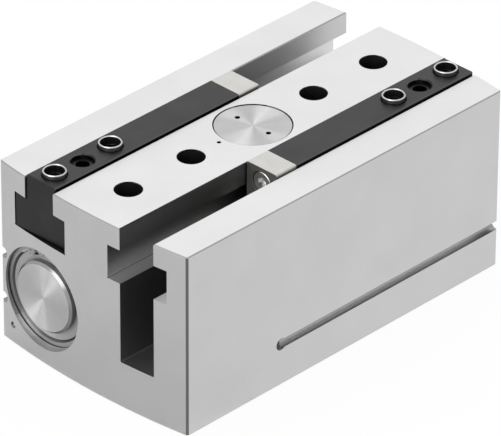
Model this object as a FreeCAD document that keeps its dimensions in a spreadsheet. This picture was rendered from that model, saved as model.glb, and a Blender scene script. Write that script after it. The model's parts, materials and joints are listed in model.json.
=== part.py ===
import FreeCAD, Part
import math
import os
import re
import Sketcher

# Pneumatic parallel gripper with two jaws. The origin is the middle of the mounting face, +X runs along
# the jaw travel and +Z points up through the jaws. Everything on the right side (jaw slot at -Y, cylinder
# opening at +X) is described once; the left side is the same, turned half a turn about the Z axis.
# The jaws stand fully open.

# Driving dimensions in millimetres, with what each one measures.
SIZES = [
    ("housing_length", 134.0, "length at the middle of the bowed ends"),
    ("housing_width", 75.0, "width across the flat sides"),
    ("housing_height", 59.0, "mounting face to top of the rail"),
    ("end_bow", 2.7, "how far the middle of an end stands out beyond its corners"),
    ("corner_chamfer", 0.6, "chamfer on the upright corners"),
    ("edge_chamfer", 0.3, "broken edges of housing, jaws and covers"),
    ("slot_share", 0.26, "middle plane to the middle of a jaw slot, as a share of the width"),
    ("neck_width", 12.4, "width of the slot between its lips"),
    ("lip_thickness", 7.0, "thickness of the lips that hold the jaw down"),
    ("wing_height", 11.0, "height of the wide part of the slot"),
    ("pocket_drop", 6.0, "cylinder axis to the floor of the deep pocket"),
    ("slot_relief", 0.25, "relief cut into the bottom corners of a jaw slot"),
    ("pocket_corner", 0.3, "chamfer left in the bottom corners of a deep pocket"),
    ("driver_gap", 0.8, "driver to pocket wall with the jaws open"),
    ("neck_clearance", 0.4, "side gap between jaw neck and lips"),
    ("wing_clearance", 0.4, "side gap between jaw wings and slot"),
    ("slide_clearance", 0.1, "gap above and below the jaw wings"),
    ("pocket_clearance", 0.5, "gap between driver foot and pocket floor"),
    ("jaw_length", 73.7, "length of a jaw"),
    ("jaw_inset", 1.6, "housing end to outer end of an open jaw"),
    ("jaw_proud", 0.85, "jaw top above the rail"),
    ("stroke", 40.0, "travel of each jaw"),
    ("seat_inset", 5.5, "jaw end to its first finger seat"),
    ("seat_pitch", 11.0, "spacing of the finger seats"),
    ("seat_count", 3, "finger seats on a jaw"),
    ("seat_diameter", 7.0, "finger seat bore, also the sleeve's outside"),
    ("seat_depth", 1.5, "depth of a finger seat"),
    ("seat_edge", 0.4, "chamfer on the rim of a finger seat"),
    ("finger_core", 4.2, "core bore of the finger threads"),
    ("finger_core_depth", 11.0, "depth of the finger threads below the seat"),
    ("sleeve_height", 3.0, "height of a centring sleeve"),
    ("sleeve_bore", 6.0, "bore of a centring sleeve"),
    ("sleeve_edge", 0.25, "chamfer on the rims of a sleeve"),
    ("driver_thickness", 8.1, "length of the driver along the travel"),
    ("driver_screw_depth", 4.2, "top of the rail to the upper driver screw"),
    ("driver_screw_drop", 8.5, "upper driver screw to the lower one"),
    ("driver_screw_diameter", 4.0, "thread of the driver screws"),
    ("driver_screw_head", 7.0, "head diameter of the driver screws"),
    ("driver_screw_head_height", 4.0, "head height of the driver screws"),
    ("driver_screw_socket", 3.0, "hexagon socket of the driver screws, across flats"),
    ("driver_screw_socket_depth", 2.0, "depth of that socket"),
    ("rod_screw_diameter", 5.0, "thread of the rod screw"),
    ("rod_screw_head", 8.5, "head diameter of the rod screw"),
    ("rod_screw_head_height", 5.0, "head height of the rod screw"),
    ("rod_screw_socket", 4.0, "hexagon socket of the rod screw, across flats"),
    ("rod_screw_socket_depth", 2.5, "depth of that socket"),
    ("head_clearance", 0.3, "radial room around a sunk screw head"),
    ("head_sink", 0.2, "screw head below the driver face"),
    ("screw_grip", 10.0, "thread length held in the jaw or rod"),
    ("thread_end_room", 1.0, "blind hole beyond the end of a screw"),
    ("cylinder_lift", 0.5, "cylinder axes above the middle of the block below the slots"),
    ("bore_wall", 5.5, "wall between cylinder bore and side"),
    ("cover_seat_step", 3.5, "cylinder bore to the wider bore that holds the end cover"),
    ("ring_inset", 3.7, "housing end to the face of the retaining ring"),
    ("ring_thickness", 1.2, "thickness of the retaining ring"),
    ("ring_width", 1.9, "radial width of the retaining ring inside its seat"),
    ("ring_groove_depth", 0.4, "depth of the retaining ring groove"),
    ("ring_play", 0.05, "room around the ring in its groove"),
    ("ring_room", 0.3, "open groove in front of the ring"),
    ("ring_edge", 0.5, "broken inner edge of the ring"),
    ("ring_lug_radius", 1.5, "radius of the plier lugs"),
    ("ring_lug_spread", 8.5, "angle from ring gap to lug, degrees"),
    ("ring_lug_hole", 0.8, "plier holes in the lugs"),
    ("ring_lug_room", 0.2, "room around the lugs in the cover's notch"),
    ("ring_gap", 0.8, "gap between the ring's ends"),
    ("ring_turn", 20.0, "turn of the ring gap from the top, degrees"),
    ("flange_thickness", 3.5, "end cover flange"),
    ("step_room", 0.2, "radial room between the ring and the step inside it"),
    ("step_height", 0.8, "height of that step above the flange"),
    ("boss_step", 1.3, "raised boss of the end cover inside the bore's size"),
    ("boss_inset", 1.8, "housing end to the face of the boss"),
    ("boss_chamfer", 0.7, "chamfer on the boss"),
    ("cover_seal_step", 1.6, "cylinder bore to the middle of the cover seal"),
    ("cover_seal_section", 1.2, "section diameter of the cover seal"),
    ("piston_length", 14.0, "length of a piston"),
    ("piston_clearance", 0.15, "piston to bore"),
    ("nose_length", 2.4, "reduced ends of a piston"),
    ("nose_step", 1.3, "reduced ends inside the bore's size"),
    ("seal_width", 1.9, "piston seal groove width"),
    ("seal_groove_depth", 2.6, "bottom of the piston seal groove to the bore"),
    ("magnet_width", 2.4, "magnet groove width"),
    ("magnet_groove_depth", 2.5, "bottom of the magnet groove to the bore"),
    ("magnet_cover", 0.3, "magnet below the piston surface"),
    ("buffer_inner", 6.8, "inner radius of a buffer ring"),
    ("buffer_outer", 9.0, "outer radius of a buffer ring"),
    ("buffer_seat", 1.2, "depth of the buffer's seat in the piston"),
    ("buffer_proud", 0.1, "buffer above the piston face"),
    ("end_gap", 0.2, "piston to end of bore at either end of its travel"),
    ("rod_diameter", 10.0, "piston rod"),
    ("spigot_diameter", 6.0, "threaded end of the rod"),
    ("nut_flats", 10.0, "piston nut across flats"),
    ("nut_height", 3.2, "piston nut height"),
    ("nut_room", 6.0, "radius of the nut recess in the piston"),
    ("nut_sink", 0.4, "nut below the piston face"),
    ("bush_diameter", 14.0, "bore for rod bush, seal and retainer"),
    ("rod_seal_length", 2.4, "rod seal along the rod"),
    ("retainer_thickness", 0.8, "seal retainer along the rod"),
    ("tooth_module", 1.0, "module of rack and pinion"),
    ("tooth_count", 20, "teeth on the pinion"),
    ("pressure_angle", 20.0, "pressure angle of the teeth, degrees"),
    ("tooth_play", 0.12, "backlash between pinion and rack"),
    ("root_room", 0.25, "room below the tooth tips, in modules"),
    ("pinion_width", 10.0, "pinion along its shaft"),
    ("pinion_bush_diameter", 11.0, "outside of the pinion bush"),
    ("shaft_diameter", 8.0, "pinion shaft"),
    ("shaft_depth", 14.0, "shaft in the housing below the pinion"),
    ("shaft_in_cover", 3.5, "shaft in the pinion cover"),
    ("washer_radius", 7.0, "outside of the thrust washers"),
    ("washer_thickness", 0.5, "thickness of the thrust washers"),
    ("chamber_clearance", 0.3, "pinion tips to the chamber wall"),
    ("cover_ledge", 0.35, "ledge that the pinion cover rests on"),
    ("cover_ledge_height", 1.0, "ledge above the underside of the lips"),
    ("cover_clearance", 0.1, "pinion cover to its bore"),
    ("cover_recess", 0.2, "pinion cover below the rail"),
    ("spanner_hole", 1.6, "spanner holes in the pinion cover"),
    ("spanner_hole_depth", 1.5, "depth of the spanner holes"),
    ("spanner_radius", 6.2, "spanner holes to the middle"),
    ("mount_hole", 8.4, "through holes for the mounting screws"),
    ("mount_pitch", 25.0, "spacing of the mounting holes"),
    ("grease_hole", 1.3, "small hole in the rail beside the pinion cover"),
    ("grease_hole_reach", 13.8, "grease hole to the middle"),
    ("grease_hole_depth", 6.0, "depth of the grease hole"),
    ("groove_diameter", 3.5, "round sensor groove"),
    ("groove_mouth", 2.9, "opening of the sensor groove in the side"),
    ("groove_entry", 3.9, "round entry at the start of a sensor groove"),
    ("groove_entry_sink", 0.25, "floor of the entry below that of the groove"),
    ("groove_start", 26.6, "middle plane to the groove entry"),
    ("groove_drop", 7.4, "cylinder axis to the lower sensor grooves"),
    ("groove_spacing", 15.0, "lower to upper sensor groove on the left side"),
    ("channel_diameter", 2.0, "drilled air channel behind each plug"),
    ("channel_side", 5.1, "side of the housing to an air channel"),
    ("channel_drop", 15.0, "cylinder axis to an air channel"),
    ("channel_depth", 24.0, "air channel from the housing end inwards"),
    ("plug_inset", 3.4, "housing end to the middle of a plug ball"),
    ("port_core", 4.2, "core bore of the air ports"),
    ("port_depth", 4.2, "depth of the port threads"),
    ("port_inset", 2.6, "end of the cylinder bore to the middle of a port"),
    ("port_feed", 1.8, "drilling from a port into the cylinder"),
    ("port_feed_inset", 1.5, "end of the cylinder bore to the middle of that drilling"),
    ("running_clearance", 0.05, "radial room of turning and sliding fits"),
    ("fit_clearance", 0.02, "radial room of pieces that are pressed, glued or screwed in"),
    ("overrun", 2.0, "how far a cut starts or ends outside the material"),
]

# Places and sizes that follow from the driving dimensions. Distances along X and Y are those of the
# right side, whose slot lies at -Y and whose cylinder opens at +X.
FOLLOWS = {
    "half_length": "housing_length / 2",
    "half_width": "housing_width / 2",
    "corner_reach": "half_length - end_bow",
    "bow_half": "half_width - corner_chamfer",
    "bow_radius": "(bow_half ^ 2 + end_bow ^ 2) / (2 * end_bow)",
    "lip_underside": "housing_height - lip_thickness",
    "wing_floor": "lip_underside - wing_height",
    "slot_centre": "housing_width * slot_share",
    "neck_half": "neck_width / 2",
    "cylinder_height": "wing_floor / 2 + cylinder_lift",
    "pocket_floor": "cylinder_height - pocket_drop",
    "pitch_radius": "tooth_module * tooth_count / 2",
    "tooth_pitch": "pi * tooth_module",
    "tip_radius": "pitch_radius + tooth_module",
    "tooth_depth": "tooth_module * (1 + root_room)",
    "root_radius": "pitch_radius - tooth_depth",
    "rack_tips": "pitch_radius - tooth_module",
    "rack_roots": "pitch_radius + tooth_depth",
    "jaw_wing_half": "slot_centre - rack_tips",
    "wing_half": "jaw_wing_half + wing_clearance",
    "jaw_neck_half": "neck_half - neck_clearance",
    "jaw_top": "housing_height + jaw_proud",
    "jaw_wing_top": "lip_underside - slide_clearance",
    "jaw_bottom": "wing_floor + slide_clearance",
    "jaw_outer": "half_length - jaw_inset",
    "jaw_inner": "jaw_outer - jaw_length",
    "driver_face": "jaw_inner - driver_thickness",
    "driver_foot": "pocket_floor + pocket_clearance",
    "pocket_wall": "jaw_inner + driver_gap",
    "first_seat": "jaw_outer - seat_inset",
    "seat_bottom": "jaw_top - seat_depth",
    "driver_screw_height": "housing_height - driver_screw_depth",
    "lower_screw_height": "driver_screw_height - driver_screw_drop",
    "ring_face": "half_length - ring_inset",
    "ring_back": "ring_face - ring_thickness",
    "flange_face": "ring_back - ring_play",
    "bore_shoulder": "flange_face - flange_thickness",
    "step_face": "flange_face + step_height",
    "boss_face": "half_length - boss_inset",
    "bore_radius": "half_width - slot_centre - bore_wall",
    "cover_seat_radius": "bore_radius + cover_seat_step",
    "boss_radius": "bore_radius - boss_step",
    "ring_groove_radius": "cover_seat_radius + ring_groove_depth",
    "ring_outer": "ring_groove_radius - ring_play",
    "ring_inner": "cover_seat_radius - ring_width",
    "step_radius": "ring_inner - step_room",
    "lug_notch_floor": "ring_inner - ring_lug_radius - ring_lug_room",
    "lug_notch_half": "ring_inner * sin(ring_lug_spread) + ring_lug_radius + ring_lug_room",
    "cover_seal_radius": "bore_radius + cover_seal_step",
    "cover_seal_groove": "cover_seal_section + 2 * fit_clearance",
    "piston_outer": "bore_shoulder - end_gap",
    "piston_inner": "piston_outer - piston_length",
    "bore_end": "piston_inner - stroke - end_gap",
    "piston_radius": "bore_radius - piston_clearance",
    "nose_radius": "bore_radius - nose_step",
    "seal_root": "bore_radius - seal_groove_depth",
    "magnet_root": "bore_radius - magnet_groove_depth",
    "land_width": "(piston_length - 2 * nose_length - 2 * seal_width - magnet_width) / 4",
    "first_seal": "piston_inner + nose_length + land_width",
    "magnet_start": "first_seal + seal_width + land_width",
    "second_seal": "magnet_start + magnet_width + land_width",
    "nut_face": "piston_outer - nut_sink - nut_height",
    "rod_radius": "rod_diameter / 2",
    "spigot_radius": "spigot_diameter / 2",
    "bush_radius": "bush_diameter / 2",
    "retainer_start": "bore_end - retainer_thickness",
    "rod_seal_start": "retainer_start - rod_seal_length",
    "chamber_radius": "tip_radius + chamber_clearance",
    "cover_bore_radius": "chamber_radius + cover_ledge",
    "ledge": "lip_underside + cover_ledge_height",
    "pinion_bottom": "wing_floor + washer_thickness + running_clearance",
    "pinion_top": "pinion_bottom + pinion_width",
    "upper_washer": "pinion_top + running_clearance",
    "hub_underside": "upper_washer + washer_thickness",
    "cover_top": "housing_height - cover_recess",
    "shaft_radius": "shaft_diameter / 2",
    "shaft_foot": "wing_floor - shaft_depth",
    "shaft_top": "hub_underside + shaft_in_cover",
    "mesh_reach": "sqrt(tip_radius ^ 2 - rack_tips ^ 2)",
    "gaps_before": "floor(mesh_reach / tooth_pitch)",
    "gaps_after": "ceil((stroke + mesh_reach) / tooth_pitch)",
    "flank_slope": "tan(pressure_angle)",
    "gap_half": "tooth_pitch / 4 + tooth_play / 2",
    "odd_shift": "mod(tooth_count; 2) * tooth_pitch / 2",
    "groove_height": "cylinder_height - groove_drop",
    "groove_radius": "groove_diameter / 2",
    "groove_sink": "sqrt(groove_radius ^ 2 - (groove_mouth / 2) ^ 2)",
    "entry_depth": "groove_radius + groove_sink + groove_entry_sink",
    "channel_across": "half_width - channel_side",
    "channel_height": "cylinder_height - channel_drop",
}

doc = FreeCAD.newDocument("parallel_gripper")
sheet = doc.addObject("Spreadsheet::Sheet", "Sizes")
for row, (alias, value, meaning) in enumerate(SIZES, start=1):
    sheet.set(f"A{row}", meaning)
    sheet.set(f"B{row}", str(value))
    sheet.setAlias(f"B{row}", alias)
doc.recompute()

ALIASES = {alias for alias, value, meaning in SIZES}
SIDES = {"right": 0, "left": 180}
UPWARD = FreeCAD.Vector(0, 0, 1)
NODES = []


# Formulas

def formula(text):
    """The sheet expression for a formula written in the names of SIZES and FOLLOWS."""
    def spelled(match):
        name = match.group(0)
        if name in ALIASES:
            return "Sizes." + name
        if name in FOLLOWS:
            return "(" + formula(FOLLOWS[name]) + ")"
        return name
    return re.sub(r"[a-z_]+", spelled, text)


def number(text):
    """What a formula comes to with the sizes as they are."""
    return float(sheet.evalExpression(formula(text)))


def vector(point):
    return FreeCAD.Vector(number(point[0]), number(point[1]), 0)


def about(centre, halves):
    """Points of an outline that is symmetric about an upright line, from (half width, height) pairs."""
    one_side = [(f"{centre} + ({half})", height) for half, height in halves]
    other_side = [(f"{centre} - ({half})", height) for half, height in reversed(halves)]
    return one_side + other_side


def polar(radius, angle, shift="0"):
    """A point at a radius, at an angle from the top towards the outer side, shifted at right angles to it."""
    across = f"-({radius}) * sin({angle}) + ({shift}) * cos({angle})"
    up = f"({radius}) * cos({angle}) + ({shift}) * sin({angle})"
    return across, up


def hexagon(flats):
    """The corners of a hexagon, from its width across flats."""
    return [polar(f"({flats}) / sqrt(3)", f"{60 * corner}") for corner in range(6)]


def ring_section(start, end, inner, outer):
    """The half section of a plain ring between two places along its axis."""
    return [(start, inner), (end, inner), (end, outer), (start, outer)]


# Bodies and sketches

def place(item, turn, along="0", across="0", up="0"):
    """Puts an object at a point of the right side, or with a turn of 180 at the left side's twin point."""
    item.Placement = FreeCAD.Placement(FreeCAD.Vector(), FreeCAD.Rotation(UPWARD, turn))
    sign = "-" if turn else ""
    item.setExpression("Placement.Base.x", formula(f"{sign}({along})"))
    item.setExpression("Placement.Base.y", formula(f"{sign}({across})"))
    item.setExpression("Placement.Base.z", formula(up))


def new_body(label, turn=0, along="0", across="0", up="0"):
    body = doc.addObject("PartDesign::Body", label)
    body.Label = label
    body.AllowCompound = True
    place(body, turn, along, across, up)
    NODES.append(body)
    return body


def origin_feature(body, role):
    return next(item for item in body.Origin.OriginFeatures if item.Role == role)


def new_sketch(body, name, plane, lift, rise):
    """A sketch on one of the body's planes, lifted along its normal and raised along its upright axis."""
    sketch = body.newObject("Sketcher::SketchObject", name)
    sketch.AttachmentSupport = [(origin_feature(body, plane + "_Plane"), "")]
    sketch.MapMode = "FlatFace"
    sketch.setExpression("AttachmentOffset.Base.z", formula(lift))
    sketch.setExpression("AttachmentOffset.Base.y", formula(rise))
    return sketch


def bind(sketch, text, kind, *where):
    """Adds a dimension that follows a formula."""
    index = sketch.addConstraint(Sketcher.Constraint(kind, *where, number(text)))
    sketch.setExpression(f"Constraints[{index}]", formula(text))


def pin(sketch, edge, end, point):
    """Fixes one end or the centre of an edge at a point given by two formulas."""
    bind(sketch, point[0], "DistanceX", -1, 1, edge, end)
    bind(sketch, point[1], "DistanceY", -1, 1, edge, end)


def outline(body, name, plane, points, lift="0", rise="0", bows=None):
    """A closed outline through points; an edge in bows is an arc, given as (point it passes, radius)."""
    bows = bows or {}
    sketch = new_sketch(body, name, plane, lift, rise)
    corners = [vector(point) for point in points]
    for edge, (start, end) in enumerate(zip(corners, corners[1:] + corners[:1])):
        if edge in bows:
            sketch.addGeometry(Part.Arc(start, vector(bows[edge][0]), end))
        else:
            sketch.addGeometry(Part.LineSegment(start, end))
    for edge, point in enumerate(points):
        sketch.addConstraint(Sketcher.Constraint("Coincident", edge, 2, (edge + 1) % len(points), 1))
        pin(sketch, edge, 1, point)
        if edge in bows:
            bind(sketch, bows[edge][1], "Radius", edge)
    return sketch


def circles(body, name, plane, centres, diameter, lift="0"):
    sketch = new_sketch(body, name, plane, lift, "0")
    for edge, centre in enumerate(centres):
        sketch.addGeometry(Part.Circle(vector(centre), UPWARD, number(diameter) / 2))
        pin(sketch, edge, 3, centre)
        bind(sketch, diameter, "Diameter", edge)
    return sketch


# Features

def finished(body, feature):
    doc.recompute()
    body.Tip = feature
    return feature


def cut_made(body, feature, before):
    """A cut has to take material away, so the solid is compared with what it was before."""
    finished(body, feature)
    if feature.Shape.isNull() or not feature.Shape.Volume < before:
        raise ValueError(f"{feature.Label} cuts nothing")
    return feature


def pad(body, sketch, length):
    feature = body.newObject("PartDesign::Pad", sketch.Name + "Pad")
    feature.Profile = sketch
    feature.setExpression("Length", formula(length))
    return finished(body, feature)


def pocket(body, sketch, length=None, onward=False, both_ways=False):
    """A straight cut against the sketch's normal, or onward along it; without a length it goes through."""
    before = body.Shape.Volume
    feature = body.newObject("PartDesign::Pocket", sketch.Name + "Pocket")
    feature.Profile = sketch
    feature.Reversed = onward
    feature.SideType = "Symmetric" if both_ways else "One side"
    if length is None:
        feature.Type = "ThroughAll"
    else:
        feature.setExpression("Length", formula(length))
    return cut_made(body, feature, before)


def revolve(body, sketch, axis):
    feature = body.newObject("PartDesign::Revolution", sketch.Name + "Turned")
    feature.Profile = sketch
    feature.ReferenceAxis = (sketch, [axis])
    return finished(body, feature)


def groove(body, sketch, axis):
    before = body.Shape.Volume
    feature = body.newObject("PartDesign::Groove", sketch.Name + "Bored")
    feature.Profile = sketch
    feature.ReferenceAxis = (sketch, [axis])
    return cut_made(body, feature, before)


def half_turn(body, features):
    """Repeats features of the right side at the left side."""
    pattern = body.newObject("PartDesign::PolarPattern", "HalfTurn")
    pattern.Originals = features
    pattern.Axis = (origin_feature(body, "Z_Axis"), [""])
    pattern.Angle = 360
    pattern.Occurrences = 2
    return finished(body, pattern)


def repeat(body, name, features, axis, spacing, count, backwards=False):
    """Repeats features at even spacing along one of the body's axes."""
    pattern = body.newObject("PartDesign::LinearPattern", name)
    pattern.Originals = features
    pattern.Direction = (origin_feature(body, axis + "_Axis"), [""])
    pattern.Reversed = backwards
    pattern.Mode = "Spacing"
    pattern.setExpression("Offset", formula(spacing))
    pattern.setExpression("Occurrences", formula(count))
    return finished(body, pattern)


def break_edges(body, feature, size, chosen):
    """A chamfer on the chosen edges of a feature."""
    numbered = enumerate(feature.Shape.Edges, start=1)
    chamfer = body.newObject("PartDesign::Chamfer", feature.Name + "Edges")
    chamfer.Base = (feature, [f"Edge{index}" for index, edge in numbered if chosen(edge)])
    chamfer.setExpression("Size", formula(size))
    return finished(body, chamfer)


def lies_level(edge):
    """Whether an edge lies in a level plane."""
    return edge.BoundBox.ZLength < edge.Length / 2


def on_outer_end(edge):
    """Whether an edge lies in the plane of a jaw's outer end."""
    return edge.BoundBox.XMin > number("jaw_outer - edge_chamfer / 2")


def on_seat_rim(edge):
    """Whether an edge is the round rim of a finger seat."""
    round_edge = isinstance(edge.Curve, Part.Circle)
    return round_edge and edge.BoundBox.ZMin > number("jaw_top - seat_depth / 2")


def turned(label, turn, points):
    """A piece turned about the cylinder axis, from the (along, radius) points of its half section."""
    body = new_body(label, turn, "0", "-slot_centre", "cylinder_height")
    revolve(body, outline(body, label + "_section", "XZ", points), "H_Axis")
    return body


def upright(label, points):
    """A piece turned about the pinion axis, from the (radius, height) points of its half section."""
    body = new_body(label)
    feature = revolve(body, outline(body, label + "_section", "XZ", points), "V_Axis")
    return body, feature


# Housing

def housing_block(body):
    """The plain block: flat sides, bowed ends, chamfered corners and broken edges."""
    shoulder = "corner_reach - corner_chamfer"
    corners = [
        (f"-({shoulder})", "-half_width"),
        (shoulder, "-half_width"),
        ("corner_reach", "-bow_half"),
        ("corner_reach", "bow_half"),
        (shoulder, "half_width"),
        (f"-({shoulder})", "half_width"),
        ("-corner_reach", "bow_half"),
        ("-corner_reach", "-bow_half"),
    ]
    bows = {2: (("half_length", "0"), "bow_radius"), 6: (("-half_length", "0"), "bow_radius")}
    block = pad(body, outline(body, "Plan", "XY", corners, bows=bows), "housing_height")
    break_edges(body, block, "edge_chamfer", lies_level)


def housing_side(body):
    """What is cut once for the right side and once for the left."""
    slot = about("-slot_centre", [
        ("wing_half + slot_relief", "wing_floor"),
        ("wing_half + slot_relief", "wing_floor + slot_relief"),
        ("wing_half", "wing_floor + slot_relief"),
        ("wing_half", "lip_underside"),
        ("neck_half", "lip_underside"),
        ("neck_half", "housing_height - edge_chamfer"),
        ("neck_half + edge_chamfer + overrun", "housing_height + overrun"),
    ])
    bore = [
        ("pocket_wall", "0"),
        ("pocket_wall", "bush_radius"),
        ("bore_end", "bush_radius"),
        ("bore_end", "bore_radius"),
        ("bore_shoulder", "bore_radius"),
        ("bore_shoulder", "cover_seat_radius"),
        ("flange_face", "cover_seat_radius"),
        ("flange_face", "ring_groove_radius"),
        ("ring_face + ring_room", "ring_groove_radius"),
        ("ring_face + ring_room", "cover_seat_radius"),
        ("half_length + overrun", "cover_seat_radius"),
        ("half_length + overrun", "0"),
    ]
    deep_pocket = about("-slot_centre", [
        ("neck_half - pocket_corner", "pocket_floor"),
        ("neck_half", "pocket_floor + pocket_corner"),
        ("neck_half", "wing_floor + overrun"),
    ])
    groove_at = ("groove_sink - half_width", "groove_height")
    entry_at = ("-groove_start", "groove_height")
    channel_at = ("-channel_across", "channel_height")
    channel_mouth = "half_length + overrun"
    half_turn(body, [
        pocket(body, outline(body, "JawSlot", "YZ", slot), both_ways=True),
        pocket(body, outline(body, "DeepPocket", "YZ", deep_pocket, "pocket_wall")),
        groove(body, outline(body, "Cylinder", "XZ", bore, "slot_centre", "cylinder_height"), "H_Axis"),
        pocket(body, circles(body, "SensorGroove", "YZ", [groove_at], "groove_diameter", "-groove_start"),
               onward=True),
        pocket(body, circles(body, "GrooveEntry", "XZ", [entry_at], "groove_entry", "half_width"),
               "entry_depth"),
        pocket(body, circles(body, "AirChannel", "YZ", [channel_at], "channel_diameter", channel_mouth),
               "channel_depth + overrun"),
    ])


def housing_left_only(body):
    """The upper sensor groove and the two air ports, which only the left side has."""
    upper = "groove_height + groove_spacing"
    groove_at = ("half_width - groove_sink", upper)
    entry_at = ("groove_start", upper)
    ports = [("-(bore_end + port_inset)", "cylinder_height"),
             ("-(bore_shoulder - port_inset)", "cylinder_height")]
    feeds = [("-(bore_end + port_feed_inset)", "cylinder_height"),
             ("-(bore_shoulder - port_feed_inset)", "cylinder_height")]
    pocket(body, circles(body, "UpperGroove", "YZ", [groove_at], "groove_diameter", "groove_start"))
    pocket(body, circles(body, "UpperEntry", "XZ", [entry_at], "groove_entry", "-half_width"),
           "entry_depth", onward=True)
    pocket(body, circles(body, "Ports", "XZ", ports, "port_core", "-half_width"),
           "port_depth", onward=True)
    pocket(body, circles(body, "PortFeeds", "XZ", feeds, "port_feed", "-half_width"),
           "bore_wall + overrun", onward=True)


def housing_middle(body):
    """The pinion chamber with its cover seat, the mounting holes and the grease hole."""
    shaft_bore = "shaft_radius + fit_clearance"
    chamber = [
        ("0", "shaft_foot"),
        (shaft_bore, "shaft_foot"),
        (shaft_bore, "wing_floor"),
        ("chamber_radius", "wing_floor"),
        ("chamber_radius", "ledge"),
        ("cover_bore_radius", "ledge"),
        ("cover_bore_radius", "housing_height + overrun"),
        ("0", "housing_height + overrun"),
    ]
    holes = [(f"{count} * mount_pitch", "0") for count in (-2, -1, 1, 2)]
    grease_at = ("-grease_hole_reach", "0")
    groove(body, outline(body, "PinionChamber", "XZ", chamber), "V_Axis")
    pocket(body, circles(body, "MountHoles", "XY", holes, "mount_hole"), onward=True)
    pocket(body, circles(body, "GreaseHole", "XY", [grease_at], "grease_hole", "housing_height"),
           "grease_hole_depth")


def housing():
    body = new_body("housing")
    housing_block(body)
    housing_side(body)
    housing_left_only(body)
    housing_middle(body)


# Cylinder pieces

def end_cover(side, turn):
    seal_low = "cover_seal_radius - cover_seal_groove / 2"
    seal_high = "cover_seal_radius + cover_seal_groove / 2"
    rim = "cover_seat_radius - fit_clearance"
    body = turned(side + "_end_cover", turn, [
        ("bore_shoulder", "0"),
        ("bore_shoulder", seal_low),
        ("bore_shoulder + cover_seal_groove", seal_low),
        ("bore_shoulder + cover_seal_groove", seal_high),
        ("bore_shoulder", seal_high),
        ("bore_shoulder", rim),
        ("flange_face", rim),
        ("flange_face", "step_radius"),
        ("step_face", "step_radius"),
        ("step_face", "boss_radius"),
        ("boss_face - boss_chamfer", "boss_radius"),
        ("boss_face", "boss_radius - boss_chamfer"),
        ("boss_face", "0"),
    ])
    notch = [polar(radius, "ring_turn", shift) for radius, shift in (
        ("lug_notch_floor", "-lug_notch_half"), ("lug_notch_floor", "lug_notch_half"),
        ("step_radius + overrun", "lug_notch_half"), ("step_radius + overrun", "-lug_notch_half"))]
    pocket(body, outline(body, body.Name + "_notch", "YZ", notch, "step_face"), "step_height")


def cover_seal(side, turn):
    """A round ring in the groove of the end cover, against the shoulder of the bore."""
    seal = doc.addObject("Part::Torus", side + "_cover_seal")
    seal.Label = side + "_cover_seal"
    seal.setExpression("Radius1", formula("cover_seal_radius"))
    seal.setExpression("Radius2", formula("cover_seal_section / 2"))
    place(seal, turn, "bore_shoulder + cover_seal_groove / 2", "-slot_centre", "cylinder_height")
    seal.Placement.Rotation = FreeCAD.Rotation(FreeCAD.Vector(0, 1, 0), 90)
    NODES.append(seal)


def retaining_ring(side, turn):
    """A flat snap ring with a gap and two plier lugs that point inwards."""
    label = side + "_retaining_ring"
    body = new_body(label, turn, "0", "-slot_centre", "cylinder_height")
    section = [
        ("ring_back", "ring_inner"),
        ("ring_face - ring_edge", "ring_inner"),
        ("ring_face", "ring_inner + ring_edge"),
        ("ring_face", "ring_outer"),
        ("ring_back", "ring_outer"),
    ]
    revolve(body, outline(body, label + "_section", "XZ", section), "H_Axis")
    lugs = [polar("ring_inner", f"ring_turn {sign} ring_lug_spread") for sign in "+-"]
    pad(body, circles(body, label + "_lugs", "YZ", lugs, "2 * ring_lug_radius", "ring_back"),
        "ring_thickness")
    gap = [polar(radius, "ring_turn", shift) for radius, shift in (
        ("boss_radius", "-ring_gap / 2"), ("boss_radius", "ring_gap / 2"),
        ("ring_outer + overrun", "ring_gap / 2"), ("ring_outer + overrun", "-ring_gap / 2"))]
    pocket(body, outline(body, label + "_gap", "YZ", gap, "ring_face"), "ring_thickness")
    pocket(body, circles(body, label + "_holes", "YZ", lugs, "ring_lug_hole", "ring_face"),
           "ring_thickness")


def rod_guide(side, turn):
    """Bush, seal and retainer in the wall between cylinder and pocket, around the rod."""
    inner = "rod_radius + running_clearance"
    outer = "bush_radius - fit_clearance"
    turned(side + "_rod_bush", turn, ring_section("pocket_wall", "rod_seal_start", inner, outer))
    turned(side + "_rod_seal", turn, ring_section("rod_seal_start", "retainer_start", inner, outer))
    turned(side + "_seal_retainer", turn, ring_section("retainer_start", "bore_end", inner, outer))


def piston(side, turn):
    hole = "spigot_radius + fit_clearance"
    grooves = [("first_seal", "seal_width", "seal_root"),
               ("magnet_start", "magnet_width", "magnet_root"),
               ("second_seal", "seal_width", "seal_root")]
    points = [
        ("piston_inner", hole),
        ("piston_inner", "buffer_inner"),
        ("piston_inner + buffer_seat", "buffer_inner"),
        ("piston_inner + buffer_seat", "buffer_outer"),
        ("piston_inner", "buffer_outer"),
        ("piston_inner", "nose_radius"),
        ("piston_inner + nose_length", "nose_radius"),
        ("piston_inner + nose_length", "piston_radius"),
    ]
    for start, width, root in grooves:
        points += [(start, "piston_radius"), (start, root)]
        points += [(f"{start} + {width}", root), (f"{start} + {width}", "piston_radius")]
    points += [
        ("piston_outer - nose_length", "piston_radius"),
        ("piston_outer - nose_length", "nose_radius"),
        ("piston_outer", "nose_radius"),
        ("piston_outer", "buffer_outer"),
        ("piston_outer - buffer_seat", "buffer_outer"),
        ("piston_outer - buffer_seat", "buffer_inner"),
        ("piston_outer", "buffer_inner"),
        ("piston_outer", "nut_room"),
        ("nut_face", "nut_room"),
        ("nut_face", hole),
    ]
    turned(side + "_piston", turn, points)


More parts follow.
